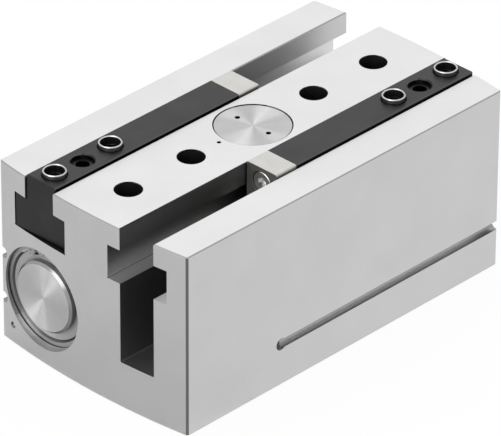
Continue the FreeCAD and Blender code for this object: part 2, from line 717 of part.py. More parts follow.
def piston_rings(side, turn):
    """The two piston seals, the magnet between them and the buffers in the piston's faces."""
    room = "fit_clearance"
    seals = turned(side + "_piston_seals", turn, ring_section(
        f"first_seal + {room}", f"first_seal + seal_width - {room}",
        f"seal_root + {room}", "bore_radius - running_clearance"))
    repeat(seals, "BothSeals", [seals.Tip], "X", "second_seal - first_seal", "2")
    turned(side + "_piston_magnet", turn, ring_section(
        f"magnet_start + {room}", f"magnet_start + magnet_width - {room}",
        f"magnet_root + {room}", "piston_radius - magnet_cover"))
    buffers = turned(side + "_piston_buffers", turn, ring_section(
        "piston_inner - buffer_proud", "piston_inner + buffer_seat",
        f"buffer_inner + {room}", f"buffer_outer - {room}"))
    repeat(buffers, "BothBuffers", [buffers.Tip], "X",
           "piston_length - buffer_seat + buffer_proud", "2")


def piston_rod(side, turn):
    """The rod: a tapped end against the driver and a threaded spigot through the piston."""
    tapped = "rod_screw_diameter / 2 + fit_clearance"
    tapped_floor = "jaw_inner + screw_grip + thread_end_room"
    turned(side + "_piston_rod", turn, [
        ("jaw_inner", tapped),
        ("jaw_inner", "rod_radius - edge_chamfer"),
        ("jaw_inner + edge_chamfer", "rod_radius"),
        ("piston_inner", "rod_radius"),
        ("piston_inner", "spigot_radius"),
        ("nut_face + nut_height", "spigot_radius"),
        ("nut_face + nut_height", "0"),
        (tapped_floor, "0"),
        (tapped_floor, tapped),
    ])


def piston_nut(side, turn):
    label = side + "_piston_nut"
    body = new_body(label, turn, "nut_face", "-slot_centre", "cylinder_height")
    pad(body, outline(body, label + "_flats", "YZ", hexagon("nut_flats")), "nut_height")
    hole = "spigot_diameter + 2 * fit_clearance"
    pocket(body, circles(body, label + "_thread", "YZ", [("0", "0")], hole), onward=True)


# Jaw pieces

def jaw(side, turn):
    """A T-shaped slide with finger seats on top and the rack in its inner wing."""
    label = side + "_jaw"
    body = new_body(label, turn)
    section = about("-slot_centre", [
        ("jaw_wing_half", "jaw_bottom"),
        ("jaw_wing_half", "jaw_wing_top"),
        ("jaw_neck_half", "jaw_wing_top"),
        ("jaw_neck_half", "jaw_top - edge_chamfer"),
        ("jaw_neck_half - edge_chamfer", "jaw_top"),
    ])
    bar = pad(body, outline(body, label + "_section", "YZ", section, "jaw_inner"), "jaw_length")
    break_edges(body, bar, "edge_chamfer", on_outer_end)
    seat_at = [("first_seat", "-slot_centre")]
    seat = pocket(body, circles(body, label + "_seat", "XY", seat_at, "seat_diameter", "jaw_top"),
                  "seat_depth")
    core = pocket(body, circles(body, label + "_core", "XY", seat_at, "finger_core", "seat_bottom"),
                  "finger_core_depth")
    seats = repeat(body, label + "_seats", [seat, core], "X", "seat_pitch", "seat_count", backwards=True)
    break_edges(body, seats, "seat_edge", on_seat_rim)
    screws = [("-slot_centre", height) for height in ("driver_screw_height", "lower_screw_height")]
    hole = "driver_screw_diameter + 2 * fit_clearance"
    pocket(body, circles(body, label + "_screw_holes", "YZ", screws, hole, "jaw_inner"),
           "screw_grip + thread_end_room", onward=True)
    first = "gaps_before * tooth_pitch" if side == "right" else "(gaps_before * tooth_pitch + odd_shift)"
    mouth = "gap_half + (tooth_module + overrun) * flank_slope"
    root = "gap_half - tooth_depth * flank_slope"
    gap = [
        (f"-{first} - ({mouth})", "overrun - rack_tips"),
        (f"-{first} + ({mouth})", "overrun - rack_tips"),
        (f"-{first} + ({root})", "-rack_roots"),
        (f"-{first} - ({root})", "-rack_roots"),
    ]
    tooth_gap = pocket(body, outline(body, label + "_tooth_gap", "XY", gap, "jaw_bottom"),
                       "jaw_wing_top - jaw_bottom", onward=True)
    repeat(body, label + "_rack", [tooth_gap], "X", "tooth_pitch", "gaps_before + gaps_after + 1")


def driver(side, turn):
    """The block on the jaw's inner end, with a foot down in the pocket that the rod pushes."""
    label = side + "_driver"
    body = new_body(label, turn)
    section = about("-slot_centre", [
        ("jaw_neck_half", "driver_foot"),
        ("jaw_neck_half", "jaw_top - edge_chamfer"),
        ("jaw_neck_half - edge_chamfer", "jaw_top"),
    ])
    pad(body, outline(body, label + "_section", "YZ", section, "driver_face"), "driver_thickness")
    heights = {"driver_screw": ["driver_screw_height", "lower_screw_height"],
               "rod_screw": ["cylinder_height"]}
    for screw, places in heights.items():
        centres = [("-slot_centre", height) for height in places]
        sunk = f"{screw}_head + 2 * head_clearance"
        hole = f"{screw}_diameter + 2 * fit_clearance"
        pocket(body, circles(body, f"{label}_{screw}_heads", "YZ", centres, sunk, "driver_face"),
               f"{screw}_head_height + head_sink", onward=True)
        pocket(body, circles(body, f"{label}_{screw}_holes", "YZ", centres, hole, "driver_face"),
               onward=True)


def cap_screw(label, turn, screw, height):
    """A socket head screw that points along +X; its head sits sunk in the driver."""
    body = new_body(label, turn, f"driver_face + head_sink + {screw}_head_height", "-slot_centre", height)
    shank = f"driver_thickness - head_sink - {screw}_head_height + screw_grip"
    head_half = f"{screw}_head / 2"
    half = f"{screw}_diameter / 2"
    section = [
        (f"-{screw}_head_height", "0"),
        (f"-{screw}_head_height", f"{head_half} - edge_chamfer"),
        (f"edge_chamfer - {screw}_head_height", head_half),
        ("0", head_half),
        ("0", half),
        (f"{shank} - edge_chamfer", half),
        (shank, f"{half} - edge_chamfer"),
        (shank, "0"),
    ]
    shape = revolve(body, outline(body, label + "_section", "XZ", section), "H_Axis")
    socket = outline(body, label + "_socket", "YZ", hexagon(f"{screw}_socket"), f"-{screw}_head_height")
    return body, [shape, pocket(body, socket, f"{screw}_socket_depth", onward=True)]


def screws(side, turn):
    body, features = cap_screw(side + "_driver_screws", turn, "driver_screw", "driver_screw_height")
    repeat(body, "BothScrews", features, "Z", "driver_screw_drop", "2", backwards=True)
    cap_screw(side + "_rod_screw", turn, "rod_screw", "cylinder_height")


def centring_sleeves(side, turn):
    """Plain sleeves in the first and last finger seats."""
    label = side + "_centring_sleeves"
    body = new_body(label, turn, "first_seat", "-slot_centre", "seat_bottom")
    inner = "sleeve_bore / 2"
    outer = "seat_diameter / 2 - fit_clearance"
    section = [
        (inner, "sleeve_edge"),
        (f"{inner} + sleeve_edge", "0"),
        (f"{outer} - sleeve_edge", "0"),
        (outer, "sleeve_edge"),
        (outer, "sleeve_height - sleeve_edge"),
        (f"{outer} - sleeve_edge", "sleeve_height"),
        (f"{inner} + sleeve_edge", "sleeve_height"),
        (inner, "sleeve_height - sleeve_edge"),
    ]
    sleeve = revolve(body, outline(body, label + "_section", "XZ", section), "V_Axis")
    repeat(body, "BothSleeves", [sleeve], "X", "(seat_count - 1) * seat_pitch", "2", backwards=True)


# Pinion pieces

def pinion_cover():
    shaft_hole = "shaft_radius + fit_clearance"
    rim = "cover_bore_radius - cover_clearance"
    body, disc = upright("pinion_cover", [
        ("0", "shaft_top + fit_clearance"),
        (shaft_hole, "shaft_top + fit_clearance"),
        (shaft_hole, "hub_underside"),
        ("washer_radius", "hub_underside"),
        ("washer_radius", "ledge"),
        (rim, "ledge"),
        (rim, "cover_top - edge_chamfer"),
        (f"{rim} - edge_chamfer", "cover_top"),
        ("0", "cover_top"),
    ])
    holes = [("0", "spanner_radius"), ("0", "-spanner_radius")]
    pocket(body, circles(body, "SpannerHoles", "XY", holes, "spanner_hole", "cover_top"),
           "spanner_hole_depth")


def pinion_shaft():
    shaft = doc.addObject("Part::Cylinder", "pinion_shaft")
    shaft.Label = "pinion_shaft"
    shaft.setExpression("Radius", formula("shaft_radius"))
    shaft.setExpression("Height", formula("shaft_top - shaft_foot"))
    place(shaft, 0, up="shaft_foot")
    NODES.append(shaft)


def pinion_rings():
    """The bush in the pinion and the thrust washers below and above it."""
    inner = "shaft_radius + running_clearance"
    upright("pinion_bush", ring_section(inner, "pinion_bush_diameter / 2", "pinion_bottom", "pinion_top"))
    washers, washer = upright("thrust_washers", ring_section(
        inner, "washer_radius", "wing_floor", "wing_floor + washer_thickness"))
    repeat(washers, "BothWashers", [washer], "Z", "upper_washer - wing_floor", "2")


def involute_point(radius, tooth_angle):
    """A point of the involute flank at a radius; tooth_angle is the half tooth's angle at the base circle."""
    base = number("pitch_radius * cos(pressure_angle)")
    roll = math.sqrt(max((radius / base) ** 2 - 1, 0))
    angle = tooth_angle - (roll - math.atan(roll))
    return FreeCAD.Vector(radius * math.cos(angle), radius * math.sin(angle), 0)


def pinion():
    """The toothed wheel between the racks. One tooth points at the right rack; with an odd number of teeth
    a gap faces the left rack, which is then shifted by half a pitch."""
    count = round(number("tooth_count"))
    base = number("pitch_radius * cos(pressure_angle)")
    tip = number("tip_radius")
    root = number("root_radius")
    slope = math.radians(number("pressure_angle"))
    half_tooth = math.pi / 2 / count + math.tan(slope) - slope
    steps = 6
    flank = [involute_point(base + (tip - base) * step / steps, half_tooth) for step in range(steps + 1)]
    upper = [FreeCAD.Vector(root * math.cos(half_tooth), root * math.sin(half_tooth), 0)] + flank
    lower = [FreeCAD.Vector(point.x, -point.y, 0) for point in upper]
    edges = []
    for tooth in range(count):
        angle = 360 * tooth / count - 90
        turn = FreeCAD.Rotation(UPWARD, angle)
        following = FreeCAD.Rotation(UPWARD, angle + 360 / count)
        middle = FreeCAD.Rotation(UPWARD, angle + 180 / count)
        rise = Part.BSplineCurve()
        rise.interpolate([turn.multVec(point) for point in lower[1:]])
        fall = Part.BSplineCurve()
        fall.interpolate([turn.multVec(point) for point in reversed(upper[1:])])
        crest = Part.Arc(turn.multVec(lower[-1]), turn.multVec(FreeCAD.Vector(tip, 0, 0)),
                         turn.multVec(upper[-1]))
        valley = Part.Arc(turn.multVec(upper[0]), middle.multVec(FreeCAD.Vector(root, 0, 0)),
                          following.multVec(lower[0]))
        edges += [
            Part.LineSegment(turn.multVec(lower[0]), turn.multVec(lower[1])).toShape(),
            rise.toShape(),
            crest.toShape(),
            fall.toShape(),
            Part.LineSegment(turn.multVec(upper[1]), turn.multVec(upper[0])).toShape(),
            valley.toShape(),
        ]
    width = FreeCAD.Vector(0, 0, number("pinion_width"))
    wheel = Part.Face(Part.Wire(edges)).extrude(width)
    bore = Part.makeCylinder(number("pinion_bush_diameter / 2 + fit_clearance"), width.z)
    gear = doc.addObject("Part::Feature", "pinion")
    gear.Label = "pinion"
    gear.Shape = wheel.cut(bore)
    place(gear, 0, up="pinion_bottom")
    NODES.append(gear)


def air_channel_plugs():
    """A ball in the mouth of each air channel."""
    balls = []
    for side, turn in SIDES.items():
        ball = doc.addObject("Part::Sphere", side + "_plug")
        ball.setExpression("Radius", formula("channel_diameter / 2 - fit_clearance"))
        place(ball, turn, "half_length - plug_inset", "-channel_across", "channel_height")
        balls.append(ball)
    plugs = doc.addObject("Part::Compound", "air_channel_plugs")
    plugs.Label = "air_channel_plugs"
    plugs.Links = balls
    NODES.append(plugs)


housing()
pinion_cover()
pinion_shaft()
pinion_rings()
pinion()
air_channel_plugs()
for side, turn in SIDES.items():
    for build in (end_cover, cover_seal, retaining_ring, rod_guide, piston, piston_rings, piston_rod,
                  piston_nut, jaw, driver, screws, centring_sleeves):
        build(side, turn)

# Every object has to be sound before anything is written.
doc.recompute()
for item in doc.Objects:
    if "Invalid" in item.State or "Error" in item.State:
        raise RuntimeError(f"{item.Label} failed: {item.State}")
for node in NODES:
    if node.Shape.isNull() or not node.Shape.isValid() or not node.Shape.Solids:
        raise RuntimeError(f"{node.Label} has no sound solid")

os.makedirs("parts", exist_ok=True)
for node in NODES:
    node.Shape.exportStep(f"parts/{node.Label}.step")
print(f"{len(NODES)} pieces written")
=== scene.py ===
import json
import math

import bpy
from mathutils import Matrix, Vector


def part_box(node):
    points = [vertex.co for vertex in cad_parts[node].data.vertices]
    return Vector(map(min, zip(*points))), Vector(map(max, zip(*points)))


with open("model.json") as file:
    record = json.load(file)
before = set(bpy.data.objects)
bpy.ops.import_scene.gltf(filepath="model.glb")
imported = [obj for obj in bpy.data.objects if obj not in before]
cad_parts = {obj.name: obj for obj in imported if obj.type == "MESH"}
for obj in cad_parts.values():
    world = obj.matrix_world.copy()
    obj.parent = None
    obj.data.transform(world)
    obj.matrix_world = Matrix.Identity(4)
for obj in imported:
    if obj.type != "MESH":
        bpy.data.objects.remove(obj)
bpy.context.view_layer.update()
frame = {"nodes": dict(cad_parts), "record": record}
nodes = frame["nodes"]

MM = 0.001
UPRIGHT = (0, 0, 1)
LENGTHWISE = (1, 0, 0)

# Sizes and places on the gripper in millimetres, from the middle of the mounting face
BEYOND = 100.0              # past the gripper on every side
EDGE = 0.65                 # room that a broken edge takes
OUTSIDE = 0.3               # what lies no deeper than this belongs to the outside
SKIN = 0.1                  # a box around one wall reaches this far to either side of it
SLOT_FLOOR = 41.0           # floor of the jaws' T-slots
SLOT_FOOT = 41.5            # the web's wall starts here, above the slot's corner
SLOT_ROOF = 52.0            # underside of the lips that hold the jaws down
WEB_SIDE = 8.6              # slot wall on the web between the slots
OUTER_SIDE = 30.4           # slot wall on the outside
INSIDE_SLOT = 15.0          # a plane that parts the rail's walls from the slots' outer walls
PAINT_START = -10.0         # the slots' painted light and the pockets' painted shade start here and run to the open end
LIT_FLOOR_WIDTH = 24.0         # how far across the slot's floor the painted light reaches
SHADED_MOUTH = 62.0                # beyond this a slot is painted dark as shade around its jaw
POCKET_SIDES = (12.0, 27.0)     # planes on either side of a deep pocket
BELOW_POCKET = 10.0         # a height below the pockets' floors
HOLE_ROW = (60.0, 5.0)      # half the length and width of the row of through holes
GROOVE_HEIGHTS = (13.6, 28.6)   # middles of the lower and upper sensor grooves
GROOVE_HALF = 1.8           # half the height of a sensor groove
GROOVE_DEPTH = 2.5          # how deep its floor is looked for
GROOVE_REGION = 30.0        # the sensor grooves lie further out than this
GROOVE_ENDS = (54.0, 62.0)  # the painted shade on a groove's floor grows between these
RING_EARS = (31.0, 38.0)    # heights between which a retaining ring has its ears


# Building materials

SQUARE = 0.9                # a face that looks along an axis this far counts as square to it
PATCHY = (0.3, 0.7)         # most of a noise lies between these
PROBES = 8                  # rays that feel for edges and hollows


def linear(code):
    """Linear RGBA of an sRGB hex colour."""
    parts = [int(code[at:at + 2], 16) / 255 for at in (1, 3, 5)]
    return [c / 12.92 if c <= 0.04045 else ((c + 0.055) / 1.055) ** 2.4 for c in parts] + [1.0]


def wire(tree, made, inputs):
    """Sets a node's inputs: a socket is linked, anything else is its value."""
    for name, value in inputs.items():
        if isinstance(value, bpy.types.NodeSocket):
            tree.links.new(value, made.inputs[name])
        else:
            made.inputs[name].default_value = value
    return made


def add(tree, kind, inputs=None, **settings):
    """Adds one shader node with its settings and inputs."""
    made = tree.nodes.new("ShaderNode" + kind)
    for name, value in settings.items():
        setattr(made, name, value)
    return wire(tree, made, inputs or {})


def new_material(name, shader):
    """A material with its shader set up, and the place on the piece in millimetres."""
    material = bpy.data.materials.new(name)
    material.use_nodes = True
    tree = material.node_tree
    surface = wire(tree, tree.nodes["Principled BSDF"], shader)
    place = add(tree, "TexCoord").outputs["Object"]
    millimetres = add(tree, "VectorMath", {0: place, "Scale": 1 / MM}, operation="SCALE").outputs[0]
    return material, tree, surface, millimetres


def clouds(tree, place, size, dark, light):
    """A tone that wanders between two colours, in patches of a size."""
    patches = add(tree, "TexNoise", {"Vector": place, "Scale": 1 / size, "Detail": 2.0}).outputs["Fac"]
    least, most = PATCHY
    share = add(tree, "MapRange", {"Value": patches, "From Min": least, "From Max": most}).outputs[0]
    return add(tree, "MixRGB", {"Fac": share, "Color1": linear(dark), "Color2": linear(light)}).outputs[0]


def layered(tree, tone, *layers):
    """The tone with layers over it, each one a share and a colour."""
    for share, colour in layers:
        tone = add(tree, "MixRGB", {"Fac": share, "Color1": tone, "Color2": linear(colour)}).outputs[0]
    return tone


def edges(tree, tone, width, colour):
    """The tone with another colour along the edges."""
    rounded = add(tree, "Bevel", {"Radius": width * MM}, samples=PROBES).outputs[0]
    flat = add(tree, "NewGeometry").outputs["True Normal"]
    match = add(tree, "VectorMath", {0: rounded, 1: flat}, operation="DOT_PRODUCT").outputs["Value"]
    share = add(tree, "MapRange", {"Value": match, "From Min": 0.98, "From Max": 0.86}).outputs[0]
    return layered(tree, tone, (share, colour))


def hollow_shade(tree, tone, reach, clear, darkest):
    """Painted shade: the tone, darker down to a share where walls within a reach leave a place less open than
    is clear.
    """
    openness = add(tree, "AmbientOcclusion", {"Distance": reach * MM}, samples=PROBES).outputs["AO"]
    shade = add(tree, "MapRange", {"Value": openness, "From Max": clear, "To Min": darkest, "To Max": 1.0})
    return add(tree, "MixRGB", {"Fac": 1.0, "Color1": tone, "Color2": shade.outputs[0]},
               blend_type="MULTIPLY").outputs[0]


def marks(tree, place, lengths):
    """Tool marks or grit, as long along each axis as given in millimetres.

    The real ones are mostly finer than a pixel, so they are drawn as coarse as they need to show.
    """
    scaled = add(tree, "VectorMath", {0: place, 1: [1 / length for length in lengths]}, operation="MULTIPLY")
    return add(tree, "TexNoise", {"Vector": scaled.outputs[0], "Scale": 1.0, "Detail": 3.0}).outputs["Fac"]


def relief(tree, surface, height, depth, smooth, rough, where=None, change=0.0):
    """Lets marks show twice: as a relief of a depth, and as a change of gloss between two roughnesses.

    Where a share is given, the roughness changes there by an amount.
    """
    least, most = PATCHY
    gloss = add(tree, "MapRange", {
        "Value": height, "From Min": least, "From Max": most, "To Min": smooth, "To Max": rough}).outputs[0]
    if where is not None:
        gloss = add(tree, "Math", {0: where, 1: change, 2: gloss}, operation="MULTIPLY_ADD").outputs[0]
    bump = add(tree, "Bump", {"Height": height, "Strength": 0.5, "Distance": depth * MM})
    wire(tree, surface, {"Roughness": gloss, "Normal": bump.outputs[0]})
    return bump


def within(tree, place, low, high):
    """1 inside a box in millimetres, 0 outside it."""
    offset = add(tree, "VectorMath", {0: place, 1: (low + high) / 2}, operation="SUBTRACT").outputs[0]
    spread = add(tree, "VectorMath", {0: offset}, operation="ABSOLUTE").outputs[0]
    beyond = add(tree, "VectorMath", {0: spread, 1: (high - low) / 2}, operation="SUBTRACT").outputs[0]
    side = add(tree, "SeparateXYZ", {0: beyond}).outputs
    level = add(tree, "Math", {0: side["X"], 1: side["Y"]}, operation="MAXIMUM").outputs[0]
    furthest = add(tree, "Math", {0: level, 1: side["Z"]}, operation="MAXIMUM").outputs[0]
    return add(tree, "Math", {0: furthest, 1: 0.0}, operation="LESS_THAN").outputs[0]


def within_both(tree, place, low, high):
    """1 inside a box in millimetres, or inside the same box after half a turn about the upright axis."""
    given = within(tree, place, low, high)
    turned = within(tree, place, Vector((-high.x, -high.y, low.z)), Vector((-low.x, -low.y, high.z)))
    return add(tree, "Math", {0: given, 1: turned}, operation="MAXIMUM").outputs[0]


def facing(tree):
    """How far the face looks along each axis, either way."""
    lie = add(tree, "VectorMath", {0: add(tree, "NewGeometry").outputs["True Normal"]}, operation="ABSOLUTE")
    return add(tree, "SeparateXYZ", {0: lie.outputs[0]}).outputs


# The housing's finish with its painted light and shade, one layer after the other

def edge_shade_lines(tree, place, look, low, high):
    """A thin line of painted shade along the outer edges, fainter where the edge faces up, and a darker
    painted shade line along the rail.
    """
    diagonal, spread, fainter = 0.7, 0.25, 0.63
    inset = Vector((-BEYOND, EDGE, EDGE))
    upright = add(tree, "Math", {0: look["Y"], 1: diagonal, 2: spread}, operation="COMPARE").outputs[0]
    level = add(tree, "Math", {0: look["Z"], 1: diagonal, 2: spread}, operation="COMPARE").outputs[0]
    askew = add(tree, "Math", {0: upright, 1: level}, operation="MAXIMUM").outputs[0]
    core = within(tree, place, low + inset, high - inset)
    edge = add(tree, "Math", {0: askew, 1: core}, operation="SUBTRACT").outputs[0]
    line = add(tree, "Math", {0: look["Z"], 1: -fainter, 2: edge}, operation="MULTIPLY_ADD", use_clamp=True)
    rail_top = within(
        tree, place, Vector((low.x, -INSIDE_SLOT, high.z - EDGE)), Vector((high.x, INSIDE_SLOT, high.z)))
    rail_edge_shade = add(tree, "Math", {0: upright, 1: rail_top}, operation="MULTIPLY")
    # painted shade: the broken edges and the rail's top edge drawn dark
    return (line.outputs[0], "#686868"), (rail_edge_shade.outputs[0], "#383838")


def shaded_walls(tree, place, look, low, high):
    """The rail's walls below and beside the lips, and the pockets' walls, are painted dark as shade."""
    layers = []
    # painted shade on the slot walls and the pocket walls
    below_lips = (SLOT_FOOT, SLOT_ROOF, "#9c9c9c")
    beside_lips = (SLOT_ROOF, high.z - OUTSIDE, "#8c8c8c")
    for bottom, top, colour in (below_lips, beside_lips):
        band = within(tree, place, Vector((low.x, -INSIDE_SLOT, bottom)), Vector((high.x, INSIDE_SLOT, top)))
        layers.append((add(tree, "Math", {0: band, 1: look["Y"]}, operation="MULTIPLY").outputs[0], colour))
    inner, outer = POCKET_SIDES
    deep = within_both(
        tree, place, Vector((PAINT_START, inner, BELOW_POCKET)), Vector((high.x, outer, SLOT_FLOOR - SKIN)))
    sides = add(tree, "Math", {0: deep, 1: look["X"]}, operation="SUBTRACT", use_clamp=True).outputs[0]
    return *layers, (sides, "#929292")


def sensor_grooves(tree, place, look, low, high):
    """The grooves' steep walls are painted dark as shade, and their floors are painted darker as shade
    towards the ends.
    """
    inset = Vector((OUTSIDE, OUTSIDE, OUTSIDE))
    block = within(tree, place, low + inset, high - inset)
    core = within(
        tree, place, Vector((low.x, -GROOVE_REGION, low.z)), Vector((high.x, GROOVE_REGION, high.z)))
    rim = add(tree, "Math", {0: block, 1: core}, operation="SUBTRACT", use_clamp=True).outputs[0]
    steepest_chamfer = 0.75
    steep = add(tree, "Math", {0: look["Y"], 1: steepest_chamfer}, operation="GREATER_THAN").outputs[0]
    walls = add(tree, "Math", {0: rim, 1: steep}, operation="MULTIPLY").outputs[0]
    start, finish = GROOVE_ENDS
    lower, upper = (within_both(
        tree, place, Vector((start, low.y + SKIN, height - GROOVE_HALF)),
        Vector((high.x, low.y + GROOVE_DEPTH, height + GROOVE_HALF))) for height in GROOVE_HEIGHTS)
    either = add(tree, "Math", {0: lower, 1: upper}, operation="MAXIMUM").outputs[0]
    floors = add(tree, "Math", {0: either, 1: look["Z"]}, operation="MULTIPLY").outputs[0]
    along = add(tree, "SeparateXYZ", {0: place}).outputs["X"]
    outward = add(tree, "Math", {0: along}, operation="ABSOLUTE").outputs[0]
    groove_end_fade = add(tree, "MapRange", {"Value": outward, "From Min": start, "From Max": finish}).outputs[0]
    groove_end_shade = add(tree, "Math", {0: floors, 1: groove_end_fade}, operation="MULTIPLY").outputs[0]
    # painted shade in the grooves
    return (walls, "#a6a6a6"), (groove_end_shade, "#868686")


def drilled_holes(tree, place, low, high):
    """The through holes are painted dark as shade."""
    reach, across = HOLE_ROW
    row = within(tree, place, Vector((-reach, -across, low.z)), Vector((reach, across, high.z - OUTSIDE)))
    return row, "#606060"


def slot_shade_and_light(tree, place, low, high):
    """The slots' mouths around the jaws are painted dark as shade, and the slots' outer walls and the web's
    floor are painted lighter as light.
    """
    mouths = within_both(tree, place, Vector((low.x, WEB_SIDE - SKIN, SLOT_FLOOR - SKIN)),
                         Vector((-SHADED_MOUTH, OUTER_SIDE + SKIN, SLOT_ROOF - SKIN)))
    outer_wall = within_both(tree, place, Vector((PAINT_START, OUTER_SIDE - SKIN, SLOT_FLOOR + SKIN)),
                             Vector((high.x, OUTER_SIDE + SKIN, SLOT_ROOF - SKIN)))
    web_floor = within_both(tree, place, Vector((PAINT_START, WEB_SIDE + SKIN, SLOT_FLOOR - SKIN)),
                            Vector((high.x, LIT_FLOOR_WIDTH, SLOT_FLOOR + SKIN)))
    lit_strip = add(tree, "Math", {0: outer_wall, 1: web_floor}, operation="MAXIMUM").outputs[0]
    # painted shade at the mouths, painted light on the outer walls and the web's floor
    return (mouths, "#505050"), (lit_strip, "#dedede")


def blasted_aluminium():
    """Blasted and clear anodised: a soft even sheen with a faint grit, with painted shade on edges, slot
    walls, grooves, holes and hollows, and painted light on parts of the slots.
    """
    low, high = (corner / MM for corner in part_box("housing"))
    material, tree, surface, place = new_material("blasted_anodised_aluminium", {"Metallic": 1.0})
    look = facing(tree)
    skin = clouds(tree, place, size=16.0, dark="#c8c8c8", light="#cccccc")
    tone_with_painted_shade = layered(tree, skin,
                       *edge_shade_lines(tree, place, look, low, high),
                       *shaded_walls(tree, place, look, low, high),
                       *sensor_grooves(tree, place, look, low, high),
                       drilled_holes(tree, place, low, high))
    # painted shade where walls close a place in
    shaded = hollow_shade(tree, tone_with_painted_shade, reach=25.0, clear=0.3, darkest=0.55)
    wire(tree, surface, {"Base Color": layered(tree, shaded, *slot_shade_and_light(tree, place, low, high))})
    relief(tree, surface, marks(tree, place, (0.5, 0.5, 0.5)), depth=0.002, smooth=0.36, rough=0.44)
    return material


# The other materials, each one as it is made in the workshop, with the painted light and shade that each one
# names

def turned_aluminium(name, axis, centre, dark, light):
    """Turned on a lathe: fine rings spread each light into a fan, on a face that the tool dishes a little.

    The round walls and the broken edge are painted darker as shade and made smoother than the face, so a lamp
    makes the edge flash; corners are painted darker as shade too.
    """
    ring_width = 0.35       # the tool's own lines are finer: this is as coarse as they need to show
    dish_depth = 0.04
    axis_name = "XYZ"[axis.index(1)]
    material, tree, surface, place = new_material(name, {"Metallic": 1.0, "Anisotropic Rotation": 0.25})
    offset = add(tree, "VectorMath", {0: place, 1: centre / MM}, operation="SUBTRACT").outputs[0]
    across = Vector((1, 1, 1)) - Vector(axis)
    flat = add(tree, "VectorMath", {0: offset, 1: across}, operation="MULTIPLY").outputs[0]
    radius = add(tree, "VectorMath", {0: flat}, operation="LENGTH").outputs["Value"]
    rings = add(tree, "TexNoise", {"W": radius, "Scale": 1 / ring_width, "Detail": 2.0},
                noise_dimensions="1D").outputs["Fac"]
    tangent = add(tree, "Tangent", direction_type="RADIAL", axis=axis_name).outputs[0]
    wall = add(tree, "Math", {0: facing(tree)[axis_name], 1: SQUARE}, operation="LESS_THAN").outputs[0]
    face = add(tree, "Math", {0: 1.0, 1: wall}, operation="SUBTRACT").outputs[0]
    # painted shade on the round walls and the broken edge
    tone = layered(tree, clouds(tree, place, size=6.0, dark=dark, light=light), (wall, "#949494"))
    shaded = hollow_shade(tree, tone, reach=4.0, clear=0.9, darkest=0.15)
    wire(tree, surface, {"Base Color": shaded, "Tangent": tangent, "Anisotropic": face})
    ringed = relief(tree, surface, rings, depth=0.002, smooth=0.34, rough=0.42, where=wall, change=-0.14)
    dish = add(tree, "Bump", {"Height": radius, "Distance": dish_depth * MM}).outputs[0]
    wire(tree, ringed, {"Normal": dish})
    return material


def milled_alloy():
    """A pale alloy, faintly warm, milled across: fine even lines, a satin sheen, ends painted darker as
    shade, lighter edges and painted shade in its hollows.
    """
    material, tree, surface, place = new_material("milled_pale_alloy", {"Metallic": 1.0})
    milled = clouds(tree, place, size=5.0, dark="#b7b6b3", light="#bebdba")
    end_shade = add(tree, "Math", {0: facing(tree)["X"], 1: SQUARE}, operation="GREATER_THAN").outputs[0]
    # painted shade on the faces that look along the length
    painted_tone = edges(tree, layered(tree, milled, (end_shade, "#8e8e88")), width=0.2, colour="#c8c6c2")
    wire(tree, surface, {"Base Color": hollow_shade(tree, painted_tone, reach=2.0, clear=0.6, darkest=0.2)})
    relief(tree, surface, marks(tree, place, (0.3, 6.0, 0.3)), depth=0.002, smooth=0.42, rough=0.54)
    return material


def black_nitrided_steel():
    """Ground lengthwise, then nitrided black: a dark satin face with faint long lines, its slanted edge faces
    painted lighter as light and its hollows painted darker as shade.
    """
    material, tree, surface, place = new_material("black_nitrided_steel", {"Metallic": 1.0})
    black = clouds(tree, place, size=9.0, dark="#363637", light="#3c3c3c")
    slant_light = add(tree, "Math", {0: facing(tree)["Y"], 1: 0.7, 2: 0.15}, operation="COMPARE").outputs[0]
    # painted light on the slanted edge faces
    painted_tone = layered(tree, black, (slant_light, "#585858"))
    wire(tree, surface, {"Base Color": hollow_shade(tree, painted_tone, reach=14.0, clear=0.85, darkest=0.1)})
    relief(tree, surface, marks(tree, place, (18.0, 0.35, 0.35)), depth=0.002, smooth=0.32, rough=0.42)
    return material


def hobbed_steel():
    """Case hardened gear steel: grey, with the hob's lines along the teeth."""
    material, tree, surface, place = new_material("hobbed_hardened_steel", {"Metallic": 1.0})
    tone = clouds(tree, place, size=3.0, dark="#838386", light="#8e8e90")
    wire(tree, surface, {"Base Color": edges(tree, tone, width=0.15, colour="#a8a8aa")})
    relief(tree, surface, marks(tree, place, (0.25, 0.25, 5.0)), depth=0.003, smooth=0.24, rough=0.38)
    return material


def ground_steel(name, lengths, smooth, rough):
    """Ground round and chromed or burnished: bright, with very fine lines around a rod."""
    material, tree, surface, place = new_material(name, {"Metallic": 1.0})
    wire(tree, surface, {"Base Color": clouds(tree, place, size=8.0, dark="#c4c4c6", light="#cbcbcd")})
    relief(tree, surface, marks(tree, place, lengths), depth=0.0005, smooth=smooth, rough=rough)
    return material


def polished_steel():
    """Hardened, with a polished rim: the round walls carry faint rings left by the lathe and are painted
    darker as a reflection of the dark jaws, and hollows are painted darker as shade.
    """
    material, tree, surface, place = new_material("polished_steel", {"Metallic": 1.0})
    rim = clouds(tree, place, size=2.0, dark="#cacaca", light="#d2d2d2")
    wall = add(tree, "Math", {0: facing(tree)["Z"], 1: 0.3}, operation="LESS_THAN").outputs[0]
    # painted reflection: the round walls drawn dark
    tone = layered(tree, rim, (wall, "#8a8a89"))
    wire(tree, surface, {"Base Color": hollow_shade(tree, tone, reach=6.0, clear=0.5, darkest=0.3)})
    relief(tree, surface, marks(tree, place, (9.0, 9.0, 0.2)), depth=0.001, smooth=0.28, rough=0.36)
    return material


